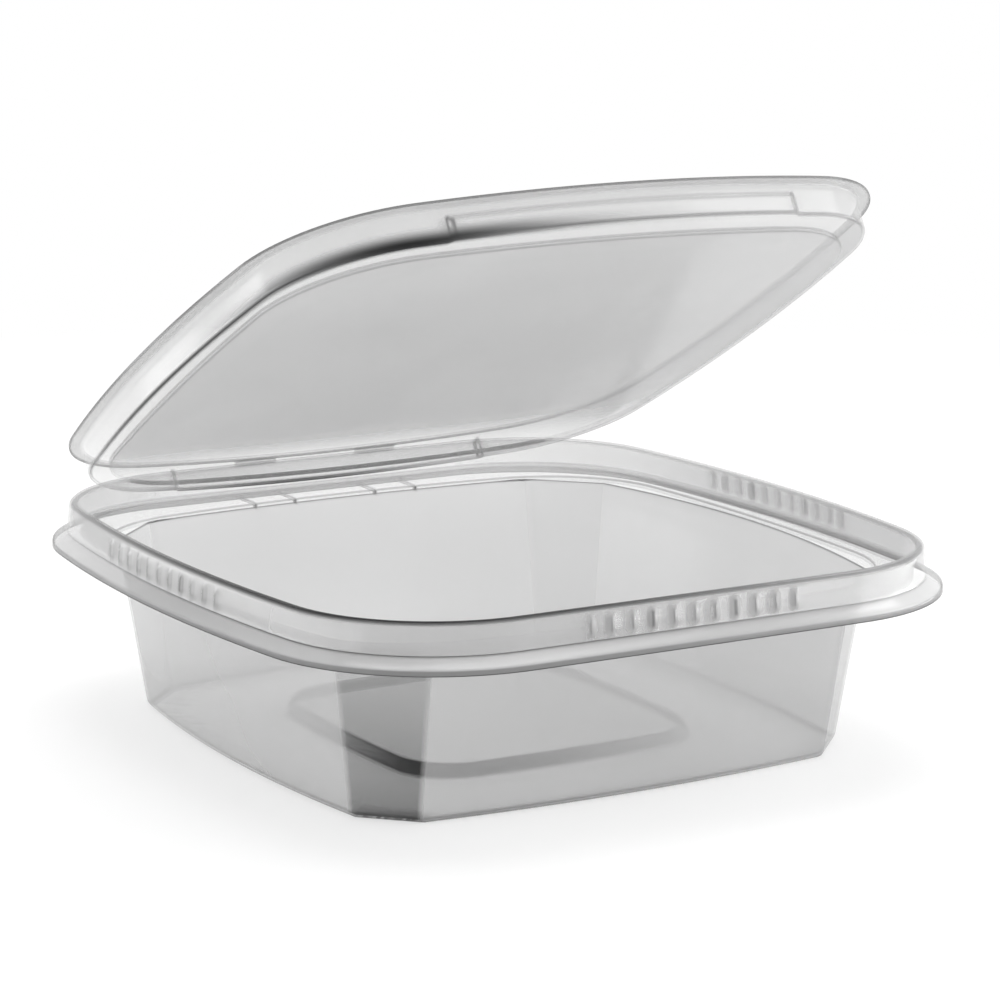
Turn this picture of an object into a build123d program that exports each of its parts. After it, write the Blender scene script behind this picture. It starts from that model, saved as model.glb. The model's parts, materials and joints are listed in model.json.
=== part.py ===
from build123d import *
import math
import os
from dataclasses import dataclass

# A hinged food pack formed from one clear sheet: an open tub with a double-walled rim, and a plug lid.
# Millimetres. +Z is up, the origin is on the table under the middle of the tub, the hinge is at +Y.

# Sheet
SHEET = 0.5

# Rim outline, measured at the outside of the rim's crest
RIM_HALF_WIDTH = 80.0
RIM_HALF_DEPTH = 86.6
RIM_SIDE_BOW = 8.7
RIM_FRONT_BOW = 0.6
RIM_CORNER = 36.2

# Rim section
RIM_HEIGHT = 48.0
CREST_WIDTH = 2.35
CREST_BEND = 0.9
BAND_HEIGHT = 6.9
BAND_DRAFT = 0.55
FLANGE_REACH = 4.6
FLANGE_DROP = 3.1
LIP_HEIGHT = 1.2

# Recess for the lid, and the mouth of the tub
RECESS_DEPTH = 7.4
MOUTH_SETBACK_SIDE = 7.2
MOUTH_SETBACK_FRONT = 13.5
MOUTH_SIDE_BOW = 4.6
MOUTH_FRONT_BOW = 7.7
MOUTH_CORNER = 30.0
STEP_RUN = 1.0
STEP_DEPTH = 0.8

# Tub walls, with a flat facet across each corner
WALL_FLARE_SIDE = 7.9
WALL_FLARE_FRONT = 7.1
WALL_SIDE_BOW = 8.1
WALL_FRONT_BOW = 9.9
FACET_SETBACK = 1.8
FACET_FLARE = 6.0
FLOOR_EDGE_RADIUS = 2.0

# Raised panel in the middle of the floor
PANEL_HALF_WIDTH = 37.5
PANEL_HALF_DEPTH = 39.0
PANEL_BOW = 2.0
PANEL_CORNER = 14.0
PANEL_RISE = 3.8
PANEL_DRAFT = 1.2

# Lid
LID_GAP = 0.3
PLUG_CLEARANCE_SIDE = 0.5
PLUG_CLEARANCE_FRONT = 2.95
PLUG_STEP_CLEARANCE = 0.6
LID_FLANGE_WIDTH = 3.0
LID_SIDE_BOW = 8.7
LID_FRONT_BOW = 11.2
LID_CORNER = 33.4
LUG_HALF_LENGTH = 42.0
LUG_HEIGHT = 4.0
LUG_REACH = 1.0

# Living hinges: two tabs, each with a round bead on the crest that the lid's tab turns about
HINGE_TAB_OFFSET = 16.5
HINGE_TAB_WIDTH = 11.0
HINGE_INSET = 1.6
HINGE_BEAD_RADIUS = 0.5
HINGE_WEB = 0.7
HINGE_WEB_ROOT = 0.4
HINGE_CLEARANCE = 0.1
REST_OPENING = 29.0

# Relief grooves across the ledge in front of the hinge tabs
GROOVE_WIDTH = 1.2
GROOVE_DEPTH = 0.25

# A corner cut at 45 degrees that touches an arc of radius 1 takes this much off each side
CUT_OF_RADIUS = 2 - math.sqrt(2)

# Heights and places that follow from the sizes above
LEDGE_Z = RIM_HEIGHT - RECESS_DEPTH
MOUTH_Z = LEDGE_Z - STEP_DEPTH
BAND_FOOT_Z = RIM_HEIGHT - BAND_HEIGHT
FLANGE_Z = BAND_FOOT_Z - FLANGE_DROP
LID_MID_Z = RIM_HEIGHT + LID_GAP + SHEET / 2
SEAT_MID_Z = LEDGE_Z + LID_GAP + SHEET / 2
PANEL_MID_Z = MOUTH_Z + LID_GAP + SHEET / 2
HINGE_Y = RIM_HALF_DEPTH - HINGE_INSET
# Sheet middles and faces of the rim, as distances from the rim outline
BAND_MID = SHEET / 2
INNER_BAND_MID = BAND_MID - CREST_WIDTH
INNER_BAND_FACE = INNER_BAND_MID - SHEET / 2
# How far joined pieces of sheet run into each other before they are fused, and cutting forms run past
SHEET_OVERLAP = 3 * SHEET
OVERRUN = 2 * SHEET


def bow_radius(half_length, bow):
    """Radius of an arc that rises by bow over a chord of twice half_length."""
    return (half_length**2 + bow**2) / (2 * bow)


@dataclass(frozen=True)
class Outline:
    """A rectangle with bowed sides: four long arcs joined by four tangent corner arcs."""

    half_x: float
    half_y: float
    radius_x: float
    radius_y: float
    corner: float

    @staticmethod
    def bowed(half_x, half_y, bow_x, bow_y, corner):
        """Outline from its half sizes and the swell of its left/right and front/back sides."""
        return Outline(half_x, half_y, bow_radius(half_y, bow_x), bow_radius(half_x, bow_y), corner)

    def grown(self, distance):
        """The outline a given distance further out, on the same arc centres."""
        return Outline(
            self.half_x + distance,
            self.half_y + distance,
            self.radius_x + distance,
            self.radius_y + distance,
            self.corner + distance,
        )

    def arcs(self):
        """The eight arcs, counter-clockwise from the +X side: centre, radius, start and sweep in degrees."""
        side_x = self.half_x - self.radius_x
        side_y = self.half_y - self.radius_y
        reach_x = self.radius_x - self.corner
        reach_y = self.radius_y - self.corner
        # The corner's centre lies where circles about the two side centres meet
        apart = math.hypot(side_x, side_y)
        along = (reach_x**2 - reach_y**2 + apart**2) / (2 * apart)
        across = math.sqrt(reach_x**2 - along**2)
        unit_x = -side_x / apart
        unit_y = side_y / apart
        corner_x = side_x + unit_x * along - unit_y * across
        corner_y = unit_y * along + unit_x * across
        low = math.degrees(math.atan2(corner_y, corner_x - side_x))
        high = math.degrees(math.atan2(corner_y - side_y, corner_x))
        turn = high - low
        return [
            ((side_x, 0), self.radius_x, -low, 2 * low),
            ((corner_x, corner_y), self.corner, low, turn),
            ((0, side_y), self.radius_y, high, 180 - 2 * high),
            ((-corner_x, corner_y), self.corner, 180 - high, turn),
            ((-side_x, 0), self.radius_x, 180 - low, 2 * low),
            ((-corner_x, -corner_y), self.corner, 180 + low, turn),
            ((0, -side_y), self.radius_y, 180 + high, 180 - 2 * high),
            ((corner_x, -corner_y), self.corner, 360 - high, turn),
        ]

    def face(self, z):
        """The flat face inside the outline at height z."""
        edges = [CenterArc((x, y, 0), radius, start, sweep) for (x, y), radius, start, sweep in self.arcs()]
        return Pos(0, 0, z) * make_face(edges)

    def corner_distance(self):
        """How far the middle of a corner arc lies from the middle of the outline, along 45 degrees."""
        (corner_x, corner_y), radius, _, _ = self.arcs()[1]
        return (corner_x + corner_y) * math.sqrt(0.5) + radius

    def ring(self, section):
        """Carry a section, drawn as (distance from the outline, height), once round the outline."""
        return Part() + [carry(section, *arc) for arc in self.arcs()]


def carry(section, centre, radius, start, sweep):
    """Turn a section about the upright axis of one arc of an outline."""
    angle = math.radians(start)
    across = (math.cos(angle), math.sin(angle), 0)
    plane = Plane(origin=(*centre, 0), x_dir=across, z_dir=(across[1], -across[0], 0))
    return revolve(plane * Pos(radius, 0) * section, Axis((*centre, 0), (0, 0, 1)), sweep)


def beside(points, distance):
    """The points of an open line moved to its left by a distance, with mitred corners."""
    headings = [(b - a).normalized() for a, b in zip(points, points[1:])]
    lefts = [Vector(-heading.Y, heading.X) for heading in headings]
    moved = []
    for point, before, after in zip(points, [lefts[0], *lefts], [*lefts, lefts[-1]]):
        moved.append(point + (before + after) * (distance / (1 + before.dot(after))))
    return moved


def sheet_section(*points):
    """Section of the sheet about its middle line, with mitred corners."""
    middle = [Vector(*point) for point in points]
    border = beside(middle, SHEET / 2) + beside(middle, -SHEET / 2)[::-1]
    return make_face(Polyline(*border, close=True))


def upright(outer, inner, low_z, high_z):
    """Solid between two outlines, from low_z up to high_z."""
    return extrude(outer.face(low_z) - inner.face(low_z), high_z - low_z, dir=(0, 0, 1))


def plate(outer, inner, z_mid):
    """Flat sheet between two outlines, with its middle at z_mid."""
    return upright(outer, inner, z_mid - SHEET / 2, z_mid + SHEET / 2)


RIM = Outline.bowed(RIM_HALF_WIDTH, RIM_HALF_DEPTH, RIM_SIDE_BOW, RIM_FRONT_BOW, RIM_CORNER)
MOUTH = Outline.bowed(
    RIM_HALF_WIDTH - MOUTH_SETBACK_SIDE,
    RIM_HALF_DEPTH - MOUTH_SETBACK_FRONT,
    MOUTH_SIDE_BOW,
    MOUTH_FRONT_BOW,
    MOUTH_CORNER,
)
# The tub's walls at the mouth: they bow more than the mouth's step, so that they clear its corners
WALL = Outline.bowed(MOUTH.half_x, MOUTH.half_y, WALL_SIDE_BOW, WALL_FRONT_BOW, MOUTH_CORNER)
LID = Outline.bowed(
    RIM_HALF_WIDTH + INNER_BAND_FACE - PLUG_CLEARANCE_SIDE + LID_FLANGE_WIDTH,
    RIM_HALF_DEPTH + INNER_BAND_FACE - PLUG_CLEARANCE_FRONT + LID_FLANGE_WIDTH,
    LID_SIDE_BOW,
    LID_FRONT_BOW,
    LID_CORNER,
)


def wall_cone(centre, radius, flare, inset):
    """Solid cone whose surface is one long wall of the tub, inset from the wall's outside face."""
    low_z = -OVERRUN
    high_z = MOUTH_Z + 2 * OVERRUN
    slope = (flare + SHEET) / MOUTH_Z
    foot = radius - flare - inset
    cone = Cone(foot + slope * low_z, foot + slope * high_z, high_z - low_z)
    return Pos(*centre, (low_z + high_z) / 2) * cone


def facet_form(inset, low_z, high_z):
    """Four-sided form, set on edge, whose leaning sides are the tub's four corner facets."""
    slope = (FACET_FLARE + SHEET) / MOUTH_Z
    distance = MOUTH.corner_distance() - FACET_SETBACK - FACET_FLARE - inset + slope * low_z
    square = Pos(0, 0, low_z) * Rot(0, 0, 45) * Rectangle(2 * distance, 2 * distance)
    return extrude(square, high_z - low_z, taper=-math.degrees(math.atan(slope)))


def tub_form(inset, low_z, high_z):
    """Solid form of the tub, inset from its outside face: four conical walls and four corner facets."""
    form = facet_form(inset, low_z, high_z)
    flares = (WALL_FLARE_SIDE, WALL_FLARE_FRONT) * 2
    for (centre, radius, _, _), flare in zip(WALL.arcs()[::2], flares):
        form &= wall_cone(centre, radius, flare, inset)
    return form


def floor_edges(form):
    """Edges round the lowest face of a form."""
    return form.faces().sort_by(Axis.Z)[0].edges()


def floor_panel_form(grow, top_z):
    """Solid form of the raised floor panel, from the table up to top_z, with sloping sides."""
    base = Outline.bowed(PANEL_HALF_WIDTH, PANEL_HALF_DEPTH, PANEL_BOW, PANEL_BOW, PANEL_CORNER).grown(grow)
    return extrude(base.face(0), top_z, dir=(0, 0, 1), taper=math.degrees(math.atan(PANEL_DRAFT / top_z)))


def hinge_places():
    """Middles of the two hinge tabs along X."""
    return (-HINGE_TAB_OFFSET, HINGE_TAB_OFFSET)


def make_tub_shell():
    """Walls and floor of the tub, its shelf round the mouth, and the raised panel formed up into it."""
    outside = tub_form(0, 0, MOUTH_Z)
    inside = tub_form(SHEET, SHEET, MOUTH_Z + OVERRUN)
    shelf = extrude(MOUTH.grown(STEP_RUN + SHEET).face(MOUTH_Z - SHEET), SHEET, dir=(0, 0, 1))
    shell = fillet(floor_edges(outside), FLOOR_EDGE_RADIUS) + shelf
    shell -= chamfer(floor_edges(inside), (FLOOR_EDGE_RADIUS - SHEET) * CUT_OF_RADIUS)
    shell += floor_panel_form(SHEET, PANEL_RISE)
    return shell - floor_panel_form(0, PANEL_RISE - SHEET)


def make_ledge():
    """The ledge that the lid sits on, and the small step down from it to the tub's shelf."""
    edge = MOUTH.grown(STEP_RUN)
    ledge = plate(RIM.grown(INNER_BAND_MID), edge, LEDGE_Z - SHEET / 2)
    return ledge + upright(edge.grown(SHEET), edge, MOUTH_Z - SHEET, LEDGE_Z)


def make_rim():
    """Flange lip, sloping flange, outer band, crest with cut corners and inner band, in one section."""
    lip = FLANGE_REACH - SHEET / 2
    crest_z = RIM_HEIGHT - SHEET / 2
    cut = CREST_BEND * CUT_OF_RADIUS
    section = sheet_section(
        (lip, FLANGE_Z),
        (lip, FLANGE_Z + LIP_HEIGHT),
        (BAND_MID + BAND_DRAFT, BAND_FOOT_Z),
        (BAND_MID, crest_z - cut),
        (BAND_MID - cut, crest_z),
        (INNER_BAND_MID + cut, crest_z),
        (INNER_BAND_MID, crest_z - cut),
        (INNER_BAND_MID, LEDGE_Z - SHEET),
    )
    return RIM.ring(section)


def make_hinge_beads():
    """Round beads on the crest, each on a short web, that the lid's tabs turn about."""
    beads = Part()
    web_foot = RIM_HEIGHT - HINGE_WEB_ROOT
    for x in hinge_places():
        beads += Pos(x, HINGE_Y, LID_MID_Z) * Rot(0, 90, 0) * Cylinder(HINGE_BEAD_RADIUS, HINGE_TAB_WIDTH)
        web_height = LID_MID_Z - web_foot
        beads += Pos(x, HINGE_Y, web_foot + web_height / 2) * Box(HINGE_TAB_WIDTH, HINGE_WEB, web_height)
    return beads


def make_relief_grooves():
    """Cutters for the four shallow grooves across the ledge, in line with the sides of the hinge tabs."""
    back = RIM_HALF_DEPTH + INNER_BAND_FACE - GROOVE_WIDTH
    front = MOUTH.half_y
    grooves = Part()
    for x in hinge_places():
        for side in (-1, 1):
            place = Pos(x + side * HINGE_TAB_WIDTH / 2, (front + back) / 2, LEDGE_Z)
            grooves += place * Box(GROOVE_WIDTH, back - front, 2 * GROOVE_DEPTH)
    return grooves


def make_base():
    """The whole base: tub, step, ledge and rim, with its half of the hinges."""
    base = make_tub_shell() + make_ledge() + make_rim() + make_hinge_beads()
    return base - make_relief_grooves()


def make_lid_body():
    """Flange, plug wall, seat ring and stepped panel of the lid, closed on the base."""
    wall_mid = -LID_FLANGE_WIDTH - SHEET / 2
    plug = LID.ring(
        sheet_section(
            (0, LID_MID_Z),
            (wall_mid, LID_MID_Z),
            (wall_mid, SEAT_MID_Z),
            (wall_mid - SHEET_OVERLAP, SEAT_MID_Z),
        )
    )
    step_outline = MOUTH.grown(STEP_RUN - PLUG_STEP_CLEARANCE)
    step = step_outline.ring(
        sheet_section(
            (-SHEET_OVERLAP, PANEL_MID_Z),
            (-SHEET / 2, PANEL_MID_Z),
            (-SHEET / 2, SEAT_MID_Z),
            (SHEET_OVERLAP, SEAT_MID_Z),
        )
    )
    seat = plate(LID.grown(wall_mid - SHEET), step_outline.grown(SHEET), SEAT_MID_Z)
    panel = extrude(step_outline.grown(-SHEET).face(PANEL_MID_Z - SHEET / 2), SHEET, dir=(0, 0, 1))
    return plug + step + seat + panel


def lug_form(section, half_length):
    """Carry a section along the middle of the front and back of the lid's outline."""
    lugs = Part()
    for centre, radius, start, sweep in (LID.arcs()[2], LID.arcs()[6]):
        half_turn = math.degrees(math.asin(half_length / radius))
        lugs += carry(section, centre, radius, start + sweep / 2 - half_turn, 2 * half_turn)
    return lugs


def add_snap_lugs(lid):
    """Form the hollow snap lugs out of the lower half of the plug wall, at the front and the hinge side."""
    floor_z = SEAT_MID_Z - SHEET / 2
    top_z = floor_z + LUG_HEIGHT
    face = -LID_FLANGE_WIDTH + LUG_REACH
    wall_mid = -LID_FLANGE_WIDTH - SHEET / 2
    inner_face = -LID_FLANGE_WIDTH - SHEET
    outside = Polyline(
        (wall_mid, floor_z),
        (face, floor_z),
        (face, top_z),
        (wall_mid, top_z + face - wall_mid),
        close=True,
    )
    hollow = Polyline(
        (inner_face - SHEET, floor_z + SHEET),
        (face - SHEET, floor_z + SHEET),
        (face - SHEET, top_z),
        (inner_face - SHEET, top_z + face - inner_face),
        close=True,
    )
    lid += lug_form(make_face(outside), LUG_HALF_LENGTH)
    return lid - lug_form(make_face(hollow), LUG_HALF_LENGTH - SHEET)


def make_lid():
    """The lid with its snap lugs and hinge tabs, turned open about the hinge."""
    lid = add_snap_lugs(make_lid_body())
    tab_root = LID.half_y - LID_FLANGE_WIDTH
    for x in hinge_places():
        tab_middle = Pos(x, (tab_root + HINGE_Y) / 2, LID_MID_Z)
        lid += tab_middle * Box(HINGE_TAB_WIDTH, HINGE_Y - tab_root, SHEET)
        socket = Cylinder(HINGE_BEAD_RADIUS + HINGE_CLEARANCE, HINGE_TAB_WIDTH)
        lid -= Pos(x, HINGE_Y, LID_MID_Z) * Rot(0, 90, 0) * socket
    return lid.rotate(Axis((0, HINGE_Y, LID_MID_Z), (-1, 0, 0)), REST_OPENING)


os.makedirs("parts", exist_ok=True)
export_step(make_base(), "parts/base_tub.step")
export_step(make_lid(), "parts/lid.step")
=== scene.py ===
"""Dresses a hinged clear food pack: two formed sheets, their hinge tabs, a pale floor and soft light.

Lengths are millimetres until a mesh is written, and then metres. The frame has +Z up, the hinge at +Y and
the origin on the table under the middle of the tub.
"""

import json
import logging
import math
from dataclasses import dataclass
from enum import Enum, IntEnum
from typing import Any, Callable

import bpy
import numpy as np
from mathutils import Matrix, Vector

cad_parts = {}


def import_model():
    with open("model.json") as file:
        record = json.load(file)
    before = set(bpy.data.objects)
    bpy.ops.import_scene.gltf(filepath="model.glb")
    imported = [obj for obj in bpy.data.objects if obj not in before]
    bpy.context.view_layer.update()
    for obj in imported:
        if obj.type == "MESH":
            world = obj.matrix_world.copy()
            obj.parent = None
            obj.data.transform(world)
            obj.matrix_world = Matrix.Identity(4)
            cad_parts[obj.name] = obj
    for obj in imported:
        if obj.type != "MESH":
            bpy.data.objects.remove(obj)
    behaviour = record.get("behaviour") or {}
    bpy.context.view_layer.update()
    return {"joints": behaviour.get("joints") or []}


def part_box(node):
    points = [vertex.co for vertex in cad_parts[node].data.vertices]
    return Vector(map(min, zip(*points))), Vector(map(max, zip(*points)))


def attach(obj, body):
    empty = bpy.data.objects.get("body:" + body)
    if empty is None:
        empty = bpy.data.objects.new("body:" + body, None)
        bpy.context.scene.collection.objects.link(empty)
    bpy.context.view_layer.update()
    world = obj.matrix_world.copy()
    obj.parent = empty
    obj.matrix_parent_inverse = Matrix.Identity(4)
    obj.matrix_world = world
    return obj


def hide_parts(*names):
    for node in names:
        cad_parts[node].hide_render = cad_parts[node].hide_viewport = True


MM = 0.001

# Columns round a sheet: even steps on each long side and on each corner
SIDE_STEPS = 48
CORNER_STEPS = 16
# Half length of a long side between the corners' columns, in round millimetres
SIDE_HALF = 51.6
# Extra columns on a long side: at the grip ribs, the edges of the hinge tabs and the ends of the snap lugs
RIB_PITCH = 5.0
RIB_HALF = 1.2
RIBS_EACH_WAY = 5
RIB_COLUMNS = (-1.0, -0.5, 0.0, 0.5, 1.0)
END_PLACES = (11.0, 22.0, 42.0)
END_COLUMNS = (-0.7, -0.35, 0.0, 0.35, 0.7)
# Even columns closer than this to an extra one are left out
COLUMN_GAP = 0.3
# Rows in each bend of a sheet
BEND_STEPS = 4
# Stations on each side of a fold that belong to its bend
BEND_SHARE = 0.2
# Shares of a bend between which one flat's tones pass into the next one's
TONE_START = 0.25
TONE_END = 0.6
# How quickly a bend's line of painted shade falls off from its middle, and its opacity where it is darkest
LINE_POWER = 0.8
LINE_OPACITY = 0.97
# Faces that meet at more than this many degrees keep a sharp edge
SHARP_ANGLE = 30.0

# Azimuths, in degrees from +X: the sheet's lines of painted shade are darkest at the near left
# corner, as in the photograph
NEAR_CORNER = -128.0
FRONT_SIDE = -88.0
HINGE_SIDE = 90.0
FAR_CORNER = 133.0
LEFT_SIDE = 180.0

log = logging.getLogger("food_pack")


class Body(Enum):
    """Rigid bodies of the pack."""

    BASE = "base"
    LID = "lid"


class Sheet(Enum):
    """The two solids that the dressed sheets stand for."""

    BASE = "base_tub"
    LID = "lid"


class Side(Enum):
    """Long sides of an outline, in the order in which its columns run."""

    RIGHT = 0
    BACK = 1
    LEFT = 2
    FRONT = 3


class BaseFold(IntEnum):
    """Folds of the base's sheet, in order from the flange's lip to the middle of the floor."""

    LIP_EDGE = 0
    LIP_TOP = 1
    BAND_FOOT = 2
    CREST_OUT = 3
    CREST_IN = 4
    LEDGE = 5
    RISER_TOP = 6
    RISER_FOOT = 7
    WALL_TOP = 8
    WALL_FOOT = 9
    PANEL_FOOT = 10
    PANEL_TOP = 11
    MIDDLE = 12


class LidFold(IntEnum):
    """Folds of the lid's sheet, in order from the flange's edge to the middle of the panel."""

    EDGE = 0
    WALL_TOP = 1
    SEAT = 2
    STEP = 3
    PANEL = 4
    MIDDLE = 5


def linear(hex_colour: str) -> tuple[float, float, float, float]:
    """Turn an sRGB hex colour into a linear colour with full alpha.

    Args:
        hex_colour: colour as "#RRGGBB".

    Returns:
        Linear red, green, blue and an alpha of 1.
    """
    channels = [int(hex_colour[i : i + 2], 16) / 255 for i in (1, 3, 5)]
    straight = [c / 12.92 if c <= 0.04045 else ((c + 0.055) / 1.055) ** 2.4 for c in channels]
    return (straight[0], straight[1], straight[2], 1.0)


def add_node(tree: bpy.types.NodeTree, kind: str, inputs: dict[Any, Any], **settings: Any) -> bpy.types.Node:
    """Add a node with its settings, and fill its sockets with values or links.

    Args:
        tree: node tree that gets the node.
        kind: node type without its first word, such as "Bump" for ShaderNodeBump.
        inputs: socket name or number to a plain value, or to a (node, output name) pair that is linked.
        settings: properties of the node.

    Returns:
        The new node.
    """
    node = tree.nodes.new("ShaderNode" + kind)
    for name, value in settings.items():
        setattr(node, name, value)
    for name, value in inputs.items():
        if isinstance(value, tuple) and isinstance(value[0], bpy.types.Node):
            tree.links.new(value[0].outputs[value[1]], node.inputs[name])
        else:
            node.inputs[name].default_value = value
    return node


def new_material(name: str) -> tuple[bpy.types.Material, bpy.types.NodeTree]:
    """Make an empty node material.

    Args:
        name: name of the material.

    Returns:
        The material and its cleared node tree.
    """
    material = bpy.data.materials.new(name)
    material.use_nodes = True
    material.node_tree.nodes.clear()
    return material, material.node_tree


@dataclass(frozen=True)
class ThermoformedPet:
    """Clear PET sheet drawn by vacuum into a mould.

    The flats are clear with a grey haze and a gloss. Bends carry painted shade: darker, denser lines that
    stand in for the light they throw aside, which would come through. Drawing thins the sheet unevenly, which
    leaves faint clouds in its haze and its gloss. How dark and how dense each place is was set from the
    photograph, and stays with that place from every side.
    """

    name: str
    flat_colour: str = "#D7D7D7"
    # Colour of the painted shade on bends and dark flats
    painted_shade_colour: str = "#121314"
    roughness: float = 0.15
    ior: float = 1.575
    specular: float = 0.5
    cloud_length: float = 34.0
    cloud_depth: float = 0.08

    def build(self) -> bpy.types.Material:
        """Make the material; shade and opacity are read from the mesh's own attributes.

        Returns:
            The finished material.
        """
        material, tree = new_material(self.name)
        shade = add_node(tree, "Attribute", {}, attribute_name="shade")
        opacity = add_node(tree, "Attribute", {}, attribute_name="opacity")
        # Painted shade: the shade attribute mixes the flat colour towards the painted shade colour
        colours = {"Color1": linear(self.flat_colour), "Color2": linear(self.painted_shade_colour)}
        colour = add_node(tree, "MixRGB", {"Fac": (shade, "Fac"), **colours})
        place = add_node(tree, "TexCoord", {})
        # Clouds about 34 mm across, left by the sheet stretching over the mould
        scale = 1 / (self.cloud_length * MM)
        clouds = add_node(tree, "TexNoise", {"Vector": (place, "Object"), "Scale": scale, "Detail": 1.0})
        depth = self.cloud_depth
        ends = {"To Min": 1 - depth, "To Max": 1 + depth}
        haze = add_node(tree, "MapRange", {"Value": (clouds, "Fac"), **ends})
        factors = {0: (opacity, "Fac"), 1: (haze, "Result")}
        alpha = add_node(tree, "Math", factors, operation="MULTIPLY", use_clamp=True)
        # A bend throws its reflection aside too, so the painted shade of its line keeps dark at a flat angle
        ends = {"To Min": self.specular, "To Max": 0.0}
        specular = add_node(tree, "MapRange", {"Value": (shade, "Fac"), **ends})
        ends = {"To Min": self.roughness - depth / 2, "To Max": self.roughness + depth / 2}
        gloss = add_node(tree, "MapRange", {"Value": (clouds, "Fac"), **ends})
        sockets = {
            "Base Color": (colour, "Color"),
            "Alpha": (alpha, "Value"),
            "Roughness": (gloss, "Result"),
            "IOR": self.ior,
            "Specular IOR Level": (specular, "Result"),
        }
        shader = add_node(tree, "BsdfPrincipled", sockets)
        add_node(tree, "OutputMaterial", {"Surface": (shader, "BSDF")})
        return material


def side_shares() -> np.ndarray:
    """Places of the columns along a long side, from -1 to 1: even steps, and more at ribs, tabs and lugs."""
    even = np.linspace(-SIDE_HALF, SIDE_HALF, SIDE_STEPS, endpoint=False)
    ribs = np.add.outer(np.arange(-RIBS_EACH_WAY, RIBS_EACH_WAY + 1) * RIB_PITCH, RIB_COLUMNS).ravel()
    ends = np.add.outer(END_PLACES, END_COLUMNS).ravel()
    close = np.unique(np.concatenate([ribs, ends, -ends]))
    clear = np.min(np.abs(even[:, None] - close), axis=1) > COLUMN_GAP
    return np.sort(np.concatenate([even[clear], close])) / SIDE_HALF


def column_shares() -> np.ndarray:
    """For each column, its place along its long side from -1 to 1, or 2 on a corner."""
    return np.tile(np.concatenate([side_shares(), np.full(CORNER_STEPS, 2.0)]), len(Side))


def column_sides() -> np.ndarray:
    """For each column, the number of its long side, or -1 on a corner."""
    count = len(side_shares())
    one = np.concatenate([np.zeros(count, int), np.full(CORNER_STEPS, -1)])
    return np.concatenate([np.where(one < 0, -1, side.value) for side in Side])


def smooth_step(value: np.ndarray, low: float, high: float) -> np.ndarray:
    """Rise from 0 at low to 1 at high along 3t^2 - 2t^3."""
    t = np.clip((value - low) / (high - low), 0, 1)
    return t * t * (3 - 2 * t)


def window(value: np.ndarray, start: float, full: float, fade: float, end: float) -> np.ndarray:
    """Rise smoothly from 0 at start to 1 at full, and fall again from 1 at fade to 0 at end."""
    return smooth_step(value, start, full) * smooth_step(-value, -end, -fade)


def unit(vectors: np.ndarray) -> np.ndarray:
    """Vectors along the last axis, brought to length 1."""
    return vectors / np.maximum(np.linalg.norm(vectors, axis=-1, keepdims=True), 1e-12)


def bow_radius(half_length: float, bow: float) -> float:
    """Radius of an arc that rises by bow over a chord of twice half_length."""
    return (half_length**2 + bow**2) / (2 * bow)


def reach_to_circle(
    start: np.ndarray, heading: np.ndarray, centre: tuple[float, float], radius: float
) -> np.ndarray:
    """How far each ray runs before it leaves a circle.

    With d the way from the start to the centre and b its part along the heading, the ray leaves the circle
    at b + sqrt(b^2 - d.d + radius^2).

    Args:
        start: columns by 2 points inside the circle.
        heading: columns by 2 unit vectors.
        centre: middle of the circle.
        radius: radius of the circle.

    Returns:
        One length for each column.
    """
    way = np.asarray(centre) - start
    part = np.sum(way * heading, axis=1)
    return part + np.sqrt(np.maximum(part**2 - np.sum(way**2, axis=1) + radius**2, 0))


@dataclass(frozen=True)
class Spread:
    """Where the columns of the long sides end: x along the front and back, y along the left and right."""

    x: float
    y: float

    def ring(self, z: float, reach: Callable[[np.ndarray, np.ndarray], np.ndarray]) -> np.ndarray:
        """Points of an outline, one for each column.

        Columns of a long side are rays square to it. Columns of a corner fan out by equal angles from the
        point (x, y). All rays are worked out in the first quarter, as start + reach * heading, and then
        mirrored to their own quarter.

        Args:
            z: height of the ring.
            reach: gives each ray's length, from its start and heading.

        Returns:
            Array of columns by 3.
        """
        share = side_shares()
        size = np.abs(share)
        sign = np.sign(share)
        none = np.zeros_like(share)
        every = np.ones_like(share)
        turn = np.linspace(0, math.pi / 2, CORNER_STEPS, endpoint=False)
        pivot = np.tile([self.x, self.y], (CORNER_STEPS, 1))
        fan = np.c_[np.cos(turn), np.sin(turn)]
        parts = [
            (np.c_[none, size * self.y], np.c_[every, none], np.c_[every, sign]),
            (pivot, fan, np.ones_like(fan)),
            (np.c_[size * self.x, none], np.c_[none, every], np.c_[-sign, every]),
            (pivot, fan[:, ::-1], np.ones_like(fan) * [-1, 1]),
        ]
        start, heading, quarter = (np.concatenate(part) for part in zip(*parts))
        half = (start + heading * reach(start, heading)[:, None]) * quarter
        return np.column_stack([np.concatenate([half, -half]), np.full(2 * len(half), z)])


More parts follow.
